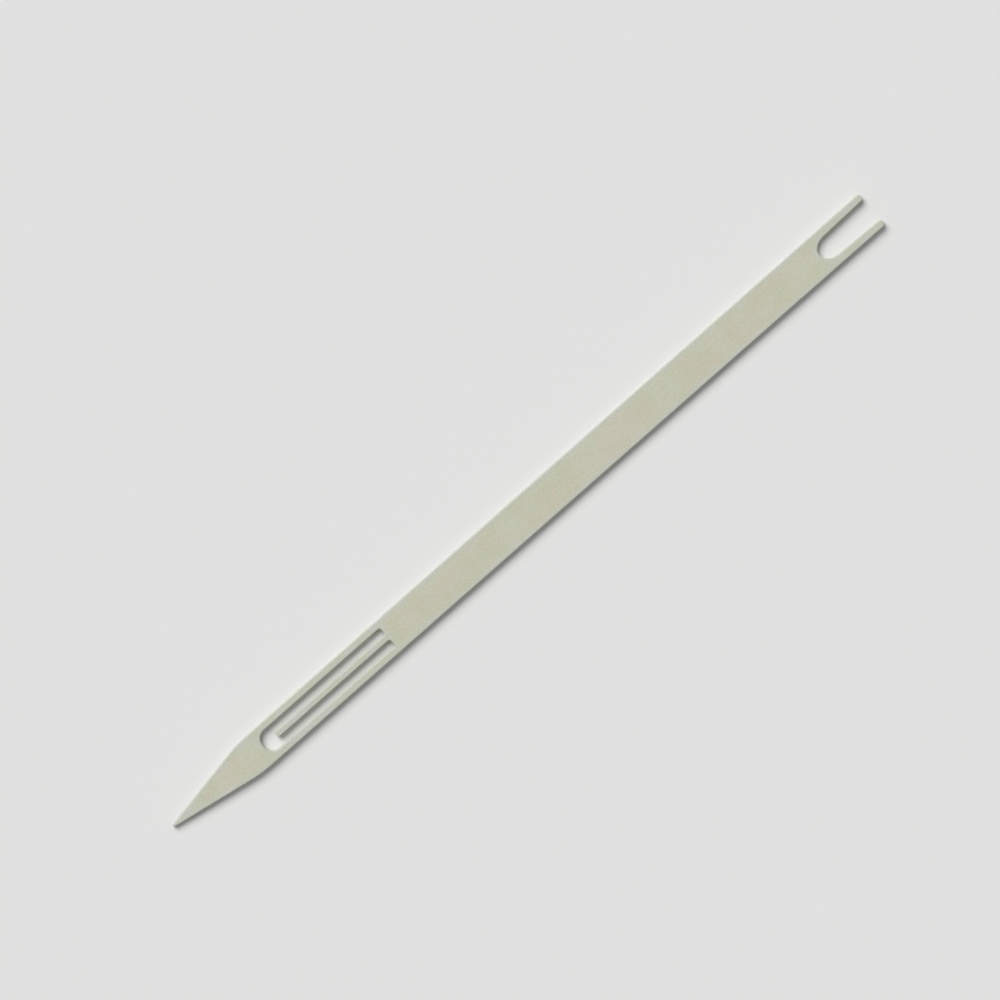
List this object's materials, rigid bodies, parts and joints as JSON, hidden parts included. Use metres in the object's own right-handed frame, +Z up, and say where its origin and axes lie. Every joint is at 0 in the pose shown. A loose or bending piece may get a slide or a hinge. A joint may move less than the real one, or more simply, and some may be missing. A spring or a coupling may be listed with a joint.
{
  "type": "netting needle",
  "caption": "Slim flat netting needle with a long point, an eye with a springy tongue and a forked heel, for winding on twine and making or mending nets.",
  "frame": {"origin": "under the middle of the needle's length and width, on the flat face that it rests on", "axes": "+X along the needle from the point towards the fork, +Y across it, +Z up through the plate"},
  "size_m": [0.225, 0.01, 0.002],
  "materials": {
    "ivory_plastic": "matte moulded ivory plastic, opaque, with a fine even grain"
  },
  "bodies": {
    "blade": {"point": "ivory_plastic", "left_rail": "ivory_plastic", "right_rail": "ivory_plastic", "shank": "ivory_plastic", "left_prong": "ivory_plastic", "right_prong": "ivory_plastic"},
    "tongue": {"tongue": "ivory_plastic"}
  },
  "joints": [
    {"name": "tongue_flex", "type": "hinge", "parent": "blade", "child": "tongue", "pos_m": [-0.04548, 0, 0.001], "axis": [0, 1, 0], "range_deg": [-10, 10], "stiffness_Nm_per_rad": 0.16}
  ]
}
